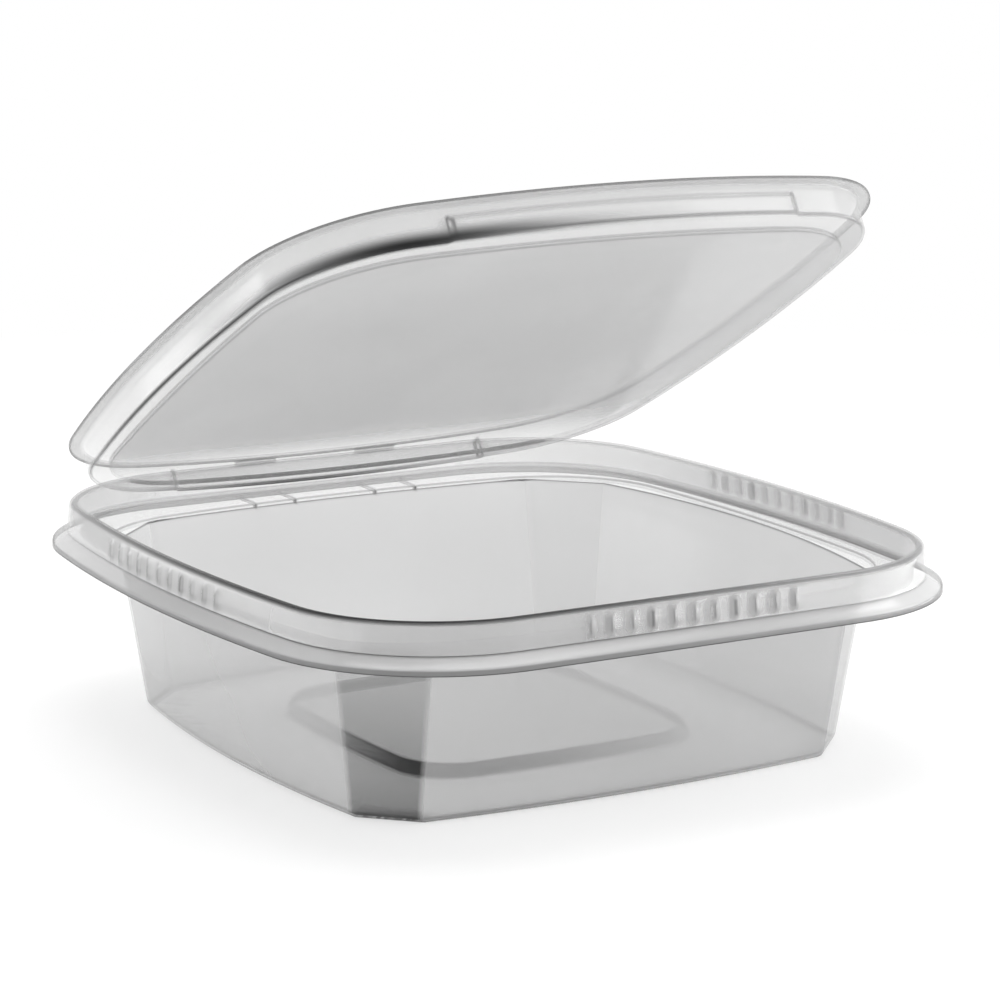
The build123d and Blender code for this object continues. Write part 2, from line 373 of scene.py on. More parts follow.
@dataclass(frozen=True)
class BowedOutline:
    """A rectangle with bowed sides: four long arcs joined by four tangent corner arcs.

    Attributes:
        half_x, half_y: half width and half depth, at the middles of the sides.
        bow_x, bow_y: how far the left and right, and the front and back, swell.
        corner: radius of the corners.
    """

    half_x: float
    half_y: float
    bow_x: float
    bow_y: float
    corner: float

    @property
    def radii(self) -> tuple[float, float]:
        """Radii of the left and right sides and of the front and back."""
        return bow_radius(self.half_y, self.bow_x), bow_radius(self.half_x, self.bow_y)

    @property
    def corner_centre(self) -> tuple[float, float]:
        """Where circles about the two side centres, of the side radii less the corner's, cross."""
        radius_x, radius_y = self.radii
        side_x = self.half_x - radius_x
        side_y = self.half_y - radius_y
        apart = math.hypot(side_x, side_y)
        reach_x = radius_x - self.corner
        along = (reach_x**2 - (radius_y - self.corner) ** 2 + apart**2) / (2 * apart)
        across = math.sqrt(reach_x**2 - along**2)
        return side_x - (side_x * along + side_y * across) / apart, (side_y * along - side_x * across) / apart

    @property
    def corner_distance(self) -> float:
        """How far the middle of a corner lies from the middle of the outline, along 45 degrees."""
        return sum(self.corner_centre) * math.sqrt(0.5) + self.corner

    def ring(self, spread: Spread, grow: float, z: float) -> np.ndarray:
        """Points of the outline, grown outwards on the same arc centres.

        A ray ends on a side's circle where that point lies short of the side's end, and else on the corner's
        circle. A side ends at (radius + grow) / (radius - corner) times the corner centre's place along it.

        Args:
            spread: where the long sides' columns end.
            grow: distance outwards from the outline.
            z: height of the ring.

        Returns:
            Array of columns by 3.
        """
        radius_x, radius_y = self.radii
        corner_x, corner_y = self.corner_centre
        end_x = corner_x * (radius_y + grow) / (radius_y - self.corner)
        end_y = corner_y * (radius_x + grow) / (radius_x - self.corner)

        def reach(start: np.ndarray, heading: np.ndarray) -> np.ndarray:
            """Length of each ray to the outline."""
            to_x = reach_to_circle(start, heading, (self.half_x - radius_x, 0), radius_x + grow)
            to_y = reach_to_circle(start, heading, (0, self.half_y - radius_y), radius_y + grow)
            to_corner = reach_to_circle(start, heading, self.corner_centre, self.corner + grow)
            on_x = start[:, 1] + heading[:, 1] * to_x < end_y
            on_y = start[:, 0] + heading[:, 0] * to_y < end_x
            return np.where(on_x & (heading[:, 0] > 0), to_x, np.where(on_y, to_y, to_corner))

        return spread.ring(z, reach)


@dataclass(frozen=True)
class FacetedWall:
    """The tub's wall: four bowed sides that lean out, cut by a flat facet at each corner.

    Attributes:
        mouth: outline of the tub's mouth.
        mouth_z: height of the mouth.
        sheet: thickness of the sheet.
        flare_x, flare_y: how far the left and right, and the front and back, lean out from floor to mouth.
        bow_x, bow_y: how far they swell at the mouth.
        floor_bow_x, floor_bow_y: how far they swell at the floor.
        facet_setback: how far a facet's top stands inside the mouth's corner.
        facet_flare: how far a facet leans out.
    """

    mouth: BowedOutline
    mouth_z: float
    sheet: float
    flare_x: float = 7.9
    flare_y: float = 7.1
    bow_x: float = 12.1
    bow_y: float = 6.0
    floor_bow_x: float = 7.7
    floor_bow_y: float = 6.9
    facet_setback: float = 1.8
    facet_flare: float = 6.0

    def circles(self, inset: float, z: float) -> list[tuple[float, float]]:
        """Sections of the left and right sides and of the front and back.

        Args:
            inset: distance inwards from the wall's outer face.
            z: height of the section.

        Returns:
            For each pair of sides, how far its centre lies beyond the middle, and its radius.
        """
        mouth = self.mouth
        rise = z / self.mouth_z
        pairs = [
            (mouth.half_x, mouth.half_y, self.bow_x, self.floor_bow_x, self.flare_x),
            (mouth.half_y, mouth.half_x, self.bow_y, self.floor_bow_y, self.flare_y),
        ]
        circles = []
        for half, length, bow, floor_bow, flare in pairs:
            radius = bow_radius(length, floor_bow + (bow - floor_bow) * rise)
            reach = half - flare - inset + (flare + self.sheet) * rise
            circles.append((radius - reach, radius))
        return circles

    def facet_line(self, inset: float, z: float) -> float:
        """The sum x + y along a facet's section: root 2 times the facet's distance from the middle."""
        lean = (self.facet_flare + self.sheet) * z / self.mouth_z
        distance = self.mouth.corner_distance - self.facet_setback - self.facet_flare - inset + lean
        return distance * math.sqrt(2)

    def creases(self, inset: float, z: float) -> Spread:
        """Where the facets meet the long sides.

        On the line x + y = S and the circle of radius r whose centre lies k beyond the middle, the way along
        the side is half of (S + k) less the root of 2 r^2 - (S + k)^2.

        Args:
            inset: distance inwards from the wall's outer face.
            z: height of the section.

        Returns:
            Ends of the front and back, and of the left and right.
        """
        line = self.facet_line(inset, z)
        ends = [
            (line + beyond - math.sqrt(2 * radius**2 - (line + beyond) ** 2)) / 2
            for beyond, radius in self.circles(inset, z)
        ]
        return Spread(x=ends[1], y=ends[0])

    def ring(self, inset: float, z: float) -> np.ndarray:
        """Points of the wall's section: each ray ends at the nearest of two circles and the facet's line.

        Args:
            inset: distance inwards from the wall's outer face.
            z: height of the section.

        Returns:
            Array of columns by 3.
        """
        (beyond_x, radius_x), (beyond_y, radius_y) = self.circles(inset, z)
        line = self.facet_line(inset, z)

        def reach(start: np.ndarray, heading: np.ndarray) -> np.ndarray:
            """Length of each ray to the wall."""
            to_x = reach_to_circle(start, heading, (-beyond_x, 0), radius_x)
            to_y = reach_to_circle(start, heading, (0, -beyond_y), radius_y)
            to_facet = (line - start.sum(axis=1)) / heading.sum(axis=1)
            return np.minimum(np.minimum(to_x, to_y), to_facet)

        return self.creases(inset, z).ring(z, reach)


@dataclass(frozen=True)
class Fold:
    """One ring of a sheet's middle surface, where it changes direction.

    Attributes:
        ring: columns by 3 points.
        radius: bend radius of the middle surface there; 0 at the two ends.
        steps: rows on the flat from this fold to the next.
        line: how dark the bend's line of painted shade is, from 0 to 1.
        shade: how much painted shade the flat after the fold has, from 0 to 1.
        opacity: opacity of each face of that flat.

    Line, shade and opacity are one number, or one for each column.
    """

    ring: np.ndarray
    radius: float = 0.0
    steps: int = 1
    line: float | np.ndarray = 0.0
    shade: float | np.ndarray = 0.0
    opacity: float | np.ndarray = 0.4


@dataclass
class Tones:
    """Shade and opacity of each point of a sheet, as rows by columns."""

    shade: np.ndarray
    opacity: np.ndarray

    def darken(self, amount: np.ndarray) -> None:
        """Raise the shade to at least the amount, and the opacity towards a line's by that share."""
        self.shade = np.maximum(self.shade, amount)
        self.opacity = self.opacity + np.maximum(LINE_OPACITY - self.opacity, 0) * amount


def bent_rows(folds: list[Fold]) -> tuple[np.ndarray, np.ndarray]:
    """Rows of a sheet's middle surface from its first fold to its last.

    Each inner fold becomes a circular arc tangent to the flats on both sides. Where the flats turn by an
    angle of 2h, the arc begins and ends radius * tan(h) from the fold, and is the rational quadratic curve
    ((1-s)^2 A + 2 cos(h) s (1-s) P + s^2 C) / ((1-s)^2 + 2 cos(h) s (1-s) + s^2).

    Args:
        folds: rings in order along the section.

    Returns:
        Points as rows by columns by 3, and each row's station: the fold's number on an arc's middle, and
        numbers between for what lies between.
    """
    s = np.linspace(0, 1, BEND_STEPS + 1)[:, None, None]
    pieces = [folds[0].ring[None]]
    stations = [np.zeros(1)]
    leave = folds[0].ring
    for number, fold in enumerate(folds[1:-1], start=1):
        back = unit(folds[number - 1].ring - fold.ring)
        onward = unit(folds[number + 1].ring - fold.ring)
        cosine = np.sum(back * onward, axis=1)[:, None]
        reach = fold.radius * np.sqrt((1 + cosine) / (1 - cosine))
        weight = np.sqrt((1 - cosine) / 2)
        enter = fold.ring + back * reach
        steps = folds[number - 1].steps
        if steps > 1:
            share = np.linspace(0, 1, steps + 1)[1:-1]
            pieces.append(leave + (enter - leave) * share[:, None, None])
            stations.append(number - 1 + BEND_SHARE + (1 - 2 * BEND_SHARE) * share)
        leave = fold.ring + onward * reach
        middle = 2 * weight * s * (1 - s)
        arc = (1 - s) ** 2 * enter + middle * fold.ring + s**2 * leave
        pieces.append(arc / ((1 - s) ** 2 + middle + s**2))
        stations.append(number + BEND_SHARE * (2 * s[:, 0, 0] - 1))
    last = np.linspace(0, 1, folds[-2].steps + 1)[1:]
    pieces.append(leave + (folds[-1].ring - leave) * last[:, None, None])
    stations.append(len(folds) - 2 + BEND_SHARE + (1 - BEND_SHARE) * last)
    return np.concatenate(pieces), np.concatenate(stations)


def sheet_normals(rows: np.ndarray) -> np.ndarray:
    """Unit normals of a surface: the step along a row crossed with the step between rows.

    Args:
        rows: rows by columns by 3 points, with columns that close on themselves.

    Returns:
        Array of the same shape.
    """
    along = np.roll(rows, -1, axis=1) - np.roll(rows, 1, axis=1)
    return unit(np.cross(along, np.gradient(rows, axis=0)))


def fold_tones(folds: list[Fold], stations: np.ndarray) -> Tones:
    """Shade and opacity that each point of a sheet has from its folds and flats.

    A flat has its fold's values, which pass into the next flat's about the middle of the bend between
    them. On a bend comes the fold's line times (1 - d)^0.8, with d from 0 at its middle to 1 at its ends.

    Args:
        folds: folds in order along the section.
        stations: station of each row.

    Returns:
        The tones.
    """
    columns = len(folds[0].ring)
    lines = np.stack([np.broadcast_to(fold.line, columns) for fold in folds])
    number = np.floor(stations + BEND_SHARE).astype(int)
    share = (stations - number + BEND_SHARE) / (2 * BEND_SHARE)
    share = smooth_step(share, TONE_START, TONE_END)[:, None]
    before = np.maximum(number - 1, 0)
    after = np.minimum(number, len(folds) - 2)
    shades = np.stack([np.broadcast_to(fold.shade, columns) for fold in folds])
    opacities = np.stack([np.broadcast_to(fold.opacity, columns) for fold in folds])
    tones = Tones(
        shades[before] + (shades[after] - shades[before]) * share,
        opacities[before] + (opacities[after] - opacities[before]) * share,
    )
    nearest = np.clip(np.round(stations).astype(int), 0, len(folds) - 1)
    closeness = np.clip(1 - np.abs(stations - nearest) / BEND_SHARE, 0, 1) ** LINE_POWER
    tones.darken(lines[nearest] * closeness[:, None])
    return tones


def bend_along(rows: np.ndarray, full_at: float) -> np.ndarray:
    """How sharply the sheet is bent along its rows, as at ribs, from 0 on a flat to 1.

    The bend is the turn of the normal between a point's neighbours divided by the way between them, times
    the radius at which it counts as full.

    Args:
        rows: rows by columns by 3 points.
        full_at: bend radius that gives 1.

    Returns:
        Array of rows by columns.
    """
    normals = sheet_normals(rows)
    turn = np.linalg.norm(np.roll(normals, -1, axis=1) - np.roll(normals, 1, axis=1), axis=2)
    step = np.linalg.norm(np.roll(rows, -1, axis=1) - np.roll(rows, 1, axis=1), axis=2)
    return np.clip(full_at * turn / np.maximum(step, 1e-6), 0, 1)


def write_mesh(
    name: str, points: np.ndarray, faces: np.ndarray, shade: np.ndarray, opacity: np.ndarray
) -> bpy.types.Object:
    """Make an object from points in millimetres.

    Args:
        name: name of the piece.
        points: vertices by 3.
        faces: faces by 4 corner numbers; a triangle repeats its last corner.
        shade: how dark each vertex is, from 0 to 1.
        opacity: opacity of each vertex.

    Returns:
        The object, linked to the scene, with smooth faces and sharp cut edges.
    """
    triangles = faces[:, 2] == faces[:, 3]
    quads = faces[~triangles]
    fans = faces[triangles][:, :3]
    mesh = bpy.data.meshes.new(name)
    mesh.vertices.add(len(points))
    mesh.vertices.foreach_set("co", (points * MM).ravel())
    mesh.loops.add(quads.size + fans.size)
    mesh.loops.foreach_set("vertex_index", np.concatenate([quads.ravel(), fans.ravel()]))
    mesh.polygons.add(len(quads) + len(fans))
    sizes = np.concatenate([np.full(len(quads), 4), np.full(len(fans), 3)])
    mesh.polygons.foreach_set("loop_start", np.concatenate([[0], np.cumsum(sizes)[:-1]]))
    mesh.polygons.foreach_set("use_smooth", np.ones(len(sizes), bool))
    mesh.update(calc_edges=True)
    mesh.set_sharp_from_angle(angle=math.radians(SHARP_ANGLE))
    for title, values in (("shade", shade), ("opacity", opacity)):
        attribute = mesh.attributes.new(title, "FLOAT", "POINT")
        attribute.data.foreach_set("value", values.astype(np.float32))
    piece = bpy.data.objects.new(name, mesh)
    bpy.context.scene.collection.objects.link(piece)
    return piece


def closed_faces(count: int, columns: int) -> np.ndarray:
    """Faces of a tube of rows that is closed at each end by a fan to a point of its own.

    Points are numbered row by row, and then come the points of the first and the last fan.

    Args:
        count: number of rows.
        columns: points in a row, which closes on itself.

    Returns:
        Faces by 4 corner numbers; a triangle repeats its last corner.
    """
    grid = np.arange(count * columns).reshape(count, columns)
    after = np.roll(grid, -1, axis=1)
    wall = np.stack([grid[1:], after[1:], after[:-1], grid[:-1]], axis=-1).reshape(-1, 4)
    pole = np.full(columns, grid.size)
    first = np.stack([grid[0], after[0], pole, pole], axis=-1)
    last = np.stack([after[-1], grid[-1], pole + 1, pole + 1], axis=-1)
    return np.concatenate([wall, first, last])


def sheet_mesh(
    name: str, rows: np.ndarray, tones: Tones, thickness: float, turn: "LidTurn | None"
) -> bpy.types.Object:
    """Give a middle surface its thickness and make it a closed piece.

    The upper and lower faces lie half a thickness along the normals. The piece is one tube of rows, from the
    last row of the upper face over the cut edge at the first row to the last row of the lower face.

    Args:
        name: name of the piece.
        rows: rows by columns by 3 points of the middle surface.
        tones: shade and opacity of each point.
        thickness: thickness of the sheet.
        turn: how the finished piece is turned, or None.

    Returns:
        The object.
    """
    half = sheet_normals(rows) * thickness / 2
    skin = np.concatenate([(rows + half)[::-1], rows - half])
    points = np.concatenate([skin.reshape(-1, 3), skin[[0, -1]].mean(axis=1)])
    if turn:
        points = turn.applied(points)
    shade, opacity = (
        np.concatenate([tone[::-1].ravel(), tone.ravel(), tone[-1, :2]])
        for tone in (tones.shade, tones.opacity)
    )
    return write_mesh(name, points, closed_faces(*skin.shape[:2]), shade, opacity)


def bar_mesh(
    name: str, section: np.ndarray, middles: list[float], width: float, turn: "LidTurn | None"
) -> bpy.types.Object:
    """Carry a closed section along X, once for each middle, with ends that close to a point.

    A point is (middle + x, section), with x at the two ends and a little inside them, where the section is
    drawn at its full size.

    Args:
        name: name of the piece.
        section: points by 2, as (y, z), anticlockwise seen from +X.
        middles: X of the middle of each bar.
        width: length of a bar along X.
        turn: how the finished piece is turned, or None.

    Returns:
        The object.
    """
    round_off = 0.25
    end_scale = 0.8
    # A faint painted shade on the hinge pieces, as on the sheet's bends
    shade = 0.05
    opacity = 0.3
    end = width / 2
    places = np.array([end, end - round_off, round_off - end, -end])
    scale = np.array([end_scale, 1.0, 1.0, end_scale])
    centre = section.mean(axis=0)
    shapes = centre + (section - centre) * scale[:, None, None]
    along = np.broadcast_to(places[:, None, None], (*shapes.shape[:2], 1))
    skin = np.concatenate([along, shapes], axis=2)
    one = np.concatenate([skin.reshape(-1, 3), skin[[0, -1]].mean(axis=1)])
    shift = np.array([[x, 0, 0] for x in middles])
    points = (one + shift[:, None]).reshape(-1, 3)
    first = np.arange(len(middles))[:, None, None] * len(one)
    faces = (closed_faces(*skin.shape[:2]) + first).reshape(-1, 4)
    if turn:
        points = turn.applied(points)
    return write_mesh(name, points, faces, np.full(len(points), shade), np.full(len(points), opacity))


@dataclass(frozen=True)
class LidTurn:
    """The lid's turn from shut to its rest place, about the hinge line."""

    y: float
    z: float
    opening: float

    def applied(self, points: np.ndarray) -> np.ndarray:
        """Turn points about the hinge line so that the front of the lid rises.

        Args:
            points: vertices by 3, with the lid shut.

        Returns:
            The turned points.
        """
        cosine = math.cos(math.radians(self.opening))
        sine = math.sin(math.radians(self.opening))
        y = points[:, 1] - self.y
        z = points[:, 2] - self.z
        turned = [points[:, 0], self.y + y * cosine + z * sine, self.z - y * sine + z * cosine]
        return np.stack(turned, axis=1)


@dataclass(frozen=True)
class PackSizes:
    """Sizes that the base and the lid share.

    Attributes:
        rim: outline of the rim's crest.
        flange_reach: how far the base's flange stands out from the rim.
        sheet: thickness of the sheet.
        rim_height: height of the crest.
        crest_width: width of the crest over its two walls.
        recess: depth of the lid's recess below the crest.
        mouth_setback_x, mouth_setback_y: from the rim to the mouth, along X and along Y.
        mouth_bow_x, mouth_bow_y: how far the mouth's left and right, and its front and back, swell.
        mouth_corner: corner radius of the mouth.
        step_run: width of the step at the mouth.
        step_depth: height of that step.
        gap: play between the shut lid and the base.
        tab_offset: distance of a hinge tab's middle from the pack's middle.
        tab_width: width of a hinge tab.
    """

    rim: BowedOutline
    flange_reach: float
    sheet: float = 0.5
    rim_height: float = 48.0
    crest_width: float = 2.35
    recess: float = 7.4
    mouth_setback_x: float = 7.2
    mouth_setback_y: float = 13.5
    mouth_bow_x: float = 4.6
    mouth_bow_y: float = 7.7
    mouth_corner: float = 30.0
    step_run: float = 1.0
    step_depth: float = 0.8
    gap: float = 0.3
    tab_offset: float = 16.5
    tab_width: float = 11.0

    @property
    def mouth(self) -> BowedOutline:
        """Outline of the tub's mouth."""
        half_x = self.rim.half_x - self.mouth_setback_x
        half_y = self.rim.half_y - self.mouth_setback_y
        return BowedOutline(half_x, half_y, self.mouth_bow_x, self.mouth_bow_y, self.mouth_corner)

    @property
    def ledge(self) -> float:
        """Height of the ledge's upper face."""
        return self.rim_height - self.recess

    @property
    def shelf(self) -> float:
        """Height of the middle of the shelf inside the step."""
        return self.ledge - self.step_depth - self.sheet / 2

    @property
    def wall(self) -> FacetedWall:
        """The tub's wall below the shelf."""
        return FacetedWall(self.mouth, self.ledge - self.step_depth, self.sheet)

    @property
    def spread(self) -> Spread:
        """Where the long sides' columns end above the shelf: in line with the facets' upper ends."""
        return self.wall.creases(self.sheet / 2, self.shelf)

    @property
    def tab_middles(self) -> list[float]:
        """X of the middles of the two hinge tabs."""
        return [-self.tab_offset, self.tab_offset]


def facing(ring: np.ndarray, azimuth: float, away: float, power: float = 1.0) -> np.ndarray:
    """Weight of each column: ((1 + cos a) / 2)^power, raised to a least share on the far side.

    Args:
        ring: columns by 3 points.
        azimuth: degrees from +X, anticlockwise, from which the angle a is measured.
        away: weight on the far side.
        power: how closely the weight gathers about the azimuth.

    Returns:
        One weight for each column.
    """
    angle = np.arctan2(ring[:, 1], ring[:, 0]) - math.radians(azimuth)
    return away + (1 - away) * ((1 + np.cos(angle)) / 2) ** power


@dataclass
class BaseTub:
    """The tub with its stepped ledge, double-walled rim and flange, drawn from one sheet.

    Attributes:
        sizes: sizes shared with the lid.
        finish: material of the sheet.
        band_height: height of the rim's outer band.
        band_draft: how far the band leans out towards its foot.
        flange_drop: fall from the band's foot to the flange's lowest edge.
        lip: height of the flange's turned-down lip.
        floor_edge: outer radius where wall and floor meet.
        panel: outline of the raised panel at its foot.
        panel_rise: height of the raised panel.
        panel_draft: how far the panel's sides lean in.
        rib_height: height of a grip rib.
        groove_depth: depth of the relief grooves beside the hinge tabs.
        groove_half: half width of a relief groove.
    """

    sizes: PackSizes
    finish: bpy.types.Material
    band_height: float = 6.9
    band_draft: float = 0.55
    flange_drop: float = 3.1
    lip: float = 1.2
    floor_edge: float = 2.0
    panel: BowedOutline = BowedOutline(37.5, 39.0, 2.0, 2.0, 14.0)
    panel_rise: float = 3.8
    panel_draft: float = 1.2
    rib_height: float = 0.45
    groove_depth: float = 0.25
    groove_half: float = 0.6

    def folds(self) -> list[Fold]:
        """Rings of the middle surface, from the flange's lip to the middle of the floor.

        Returns:
            The folds in order.
        """
        size = self.sizes
        spread = size.spread
        half = size.sheet / 2
        foot = size.rim_height - self.band_height
        edge = foot - self.flange_drop
        lip = size.flange_reach - half
        crest = size.rim_height - half
        ledge = size.ledge - half
        riser = size.step_run + half
        inner = half - size.crest_width
        top = self.panel_rise - half
        hub = Spread(self.panel.half_x - self.panel.corner, self.panel.half_y - self.panel.corner)
        foot_ring = size.rim.ring(spread, half + self.band_draft, foot)
        crest_out = size.rim.ring(spread, half, crest)
        crest_in = size.rim.ring(spread, inner, crest)
        wall_foot = size.wall.ring(half, half)
        panel_foot = self.panel.ring(hub, half, half)
        panel_top = self.panel.ring(hub, half - self.panel_draft, top)
        # Painted shade: the lines of the lip, band foot and crest and the panel's foot are darkest towards
        # the near left corner, and the flange takes painted shade on its left and at the front
        dark_lip = facing(foot_ring, NEAR_CORNER, 0.4)
        dark_foot = facing(foot_ring, NEAR_CORNER, 0.2, 2.0)
        dark_crest = 0.97 * facing(crest_out, NEAR_CORNER, 0.25, 1.5)
        behind = facing(crest_out, HINGE_SIDE, 0, 3.0)
        left = facing(crest_out, LEFT_SIDE - 15, 0, 8.0)
        flange = 0.3 * facing(foot_ring, LEFT_SIDE, 0, 8.0) + 0.2 * facing(foot_ring, FRONT_SIDE, 0, 14.0)
        dark_panel = 0.97 * facing(panel_foot, NEAR_CORNER, 0.06, 4.0)
        return [
            Fold(size.rim.ring(spread, lip, edge), 0, 3, line=1.0, shade=0.6 * dark_lip, opacity=0.8),
            Fold(size.rim.ring(spread, lip, edge + self.lip), 0.6, 2, line=0.1, shade=flange, opacity=0.5),
            Fold(foot_ring, 0.6, 8, line=dark_foot, opacity=0.28 - 0.18 * behind + 0.35 * left),
            Fold(crest_out, 0.9, shade=dark_crest, opacity=0.4 + 0.57 * dark_crest),
            Fold(crest_in, 0.9, 2, line=0.4 * dark_crest, opacity=0.28 - 0.18 * behind),
            Fold(size.rim.ring(spread, inner, ledge), 0.7, 3, line=0.2, opacity=0.36),
            Fold(size.mouth.ring(spread, riser, ledge), 0.35, line=0.6, opacity=0.26),
            Fold(size.mouth.ring(spread, riser, size.shelf), 0.25, line=0.2, opacity=0.26),
            Fold(size.wall.ring(half, size.shelf), 0.3, 10, line=0.85),
            Fold(wall_foot, self.floor_edge - half, 4, line=0.75 * facing(wall_foot, NEAR_CORNER, 0.2)),
            Fold(panel_foot, 0.9, 2, shade=dark_panel, opacity=0.4 + 0.55 * dark_panel),
            Fold(panel_top, 0.9, 3, line=0.08),
            Fold(panel_top * [0.05, 0.05, 1]),
        ]

    def ribbed(self, rows: np.ndarray, stations: np.ndarray) -> np.ndarray:
        """Raise the grip ribs on the front, left and right of the band.

        A rib's height is rib_height * cos(pi d / 2)^2, with d the distance from the rib's middle divided by
        its half width. It runs out to nothing at the band's upper and lower edge.

        Args:
            rows: middle surface.
            stations: station of each row.

        Returns:
            The middle surface with its ribs.
        """
        across = (stations - BaseFold.BAND_FOOT - BEND_SHARE) / (1 - 2 * BEND_SHARE)
        across = window(across, 0.05, 0.3, 0.7, 0.95)
        place = column_shares() * SIDE_HALF
        nearest = np.clip(np.round(place / RIB_PITCH), -RIBS_EACH_WAY, RIBS_EACH_WAY) * RIB_PITCH
        away = np.clip(np.abs(place - nearest) / RIB_HALF, 0, 1)
        ribbed = np.isin(column_sides(), [Side.FRONT.value, Side.LEFT.value, Side.RIGHT.value])
        row = np.cos(math.pi * away / 2) ** 2 * ribbed
        return rows + sheet_normals(rows) * (self.rib_height * across[:, None] * row)[..., None]

    def grooved(self, rows: np.ndarray, stations: np.ndarray) -> tuple[np.ndarray, np.ndarray]:
        """Press the relief grooves into the ledge and step, in line with the hinge tabs' edges.

        A groove's depth is groove_depth * (1 - d^2) with d the distance from its middle line divided by its
        half width, and it fades where the ledge meets the rim and where the wall begins.

        Args:
            rows: middle surface.
            stations: station of each row.

        Returns:
            The middle surface with its grooves, and how far each point lies in a groove, from 0 to 1.
        """
        along = window(stations - BaseFold.LEDGE, -0.1, 0.4, 2.75, 3.05)
        edges = [abs(self.sizes.tab_offset + way * self.sizes.tab_width / 2) for way in (-1, 1)]
        away = np.min([np.abs(np.abs(rows[..., 0]) - edge) for edge in edges], axis=0)
        depth = np.clip(1 - (away / self.groove_half) ** 2, 0, 1)
        depth = depth * along[:, None] * (column_sides() == Side.BACK.value)
        return rows - sheet_normals(rows) * (self.groove_depth * depth)[..., None], depth

    def tones(self, folds: list[Fold], rows: np.ndarray, stations: np.ndarray) -> Tones:
        """Shade and opacity of each point of the sheet.

        The ribs' flanks carry painted shade, darker than the band. With f the share of the way down the wall,
        the wall has a shade of wall_shade * f, most at the front. The facet at the near left corner is dark
        in the photograph, and carries painted shade: it has facet_shade, and an opacity of 0.1 + 0.1 f + 0.7
        f^2, which stay with it from every side. The other facets take little of this.

        Args:
            folds: folds of the sheet.
            rows: middle surface with its ribs.
            stations: station of each row.

        Returns:
            The tones.
        """
        rib_shade = 0.7
        rib_bend = 1.2
        wall_shade = 0.22
        facet_shade = 0.9
        tones = fold_tones(folds, stations)
        on_band = ((stations > BaseFold.BAND_FOOT) & (stations < BaseFold.CREST_OUT))[:, None]
        # Painted shade on the ribs' flanks
        tones.darken(rib_shade * bend_along(rows, rib_bend) * on_band * (np.abs(column_shares()) < 1))
        fall = np.clip((stations - BaseFold.WALL_TOP) / (1 + BEND_SHARE), 0, 1)[:, None]
        on_wall = (stations > BaseFold.WALL_TOP) & (stations <= BaseFold.WALL_FOOT + BEND_SHARE)
        wall_top = folds[BaseFold.WALL_TOP].ring
        weight = facing(wall_top, NEAR_CORNER, 0.05, 5.0) * (column_sides() < 0) * on_wall[:, None]
        front = facing(wall_top, FRONT_SIDE + 8, 0.15, 2.0) * on_wall[:, None]
        # Painted shade on the facets, most on the near left one; the wall darker towards the bottom, most at
        # the front
        tones.shade = np.maximum(tones.shade, np.maximum(facet_shade * weight, wall_shade * fall * front))
        facet = 0.1 + 0.1 * fall + 0.7 * fall**2
        tones.opacity = tones.opacity + (facet - tones.opacity) * weight
        return tones

    def build(self) -> list[bpy.types.Object]:
        """Make the sheet, dress it and let it ride on the base.

        Returns:
            The pieces.
        """
        folds = self.folds()
        rows, stations = bent_rows(folds)
        rows = self.ribbed(rows, stations)
        tones = self.tones(folds, rows, stations)
        rows, grooves = self.grooved(rows, stations)
        # Painted shade in the relief grooves
        tones.darken(0.8 * grooves**2)
        sheet = sheet_mesh("base_sheet", rows, tones, self.sizes.sheet, None)
        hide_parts(Sheet.BASE.value)
        return [dressed(sheet, self.finish, Body.BASE)]


@dataclass(frozen=True)
class PaintedStreak:
    """A dark streak painted on a sheet, which the photograph shows and which stays with the sheet from every
    side.

    Attributes:
        start: station where it begins.
        full: station from which it is full.
        fade: station up to which it is full.
        end: station where it is gone.
        azimuth: direction of its middle.
        power: how closely it gathers there.
        depth: how dark it is there, from 0 to 1.
    """

    start: float
    full: float
    fade: float
    end: float
    azimuth: float
    power: float
    depth: float

    def shade(self, stations: np.ndarray, ring: np.ndarray) -> np.ndarray:
        """How dark the streak makes each point: depth times its window of stations times its facing weight.

        Args:
            stations: station of each row.
            ring: columns by 3 points that the azimuth is taken from.

        Returns:
            Array of rows by columns.
        """
        along = window(stations, self.start, self.full, self.fade, self.end)
        return self.depth * along[:, None] * facing(ring, self.azimuth, 0, self.power)


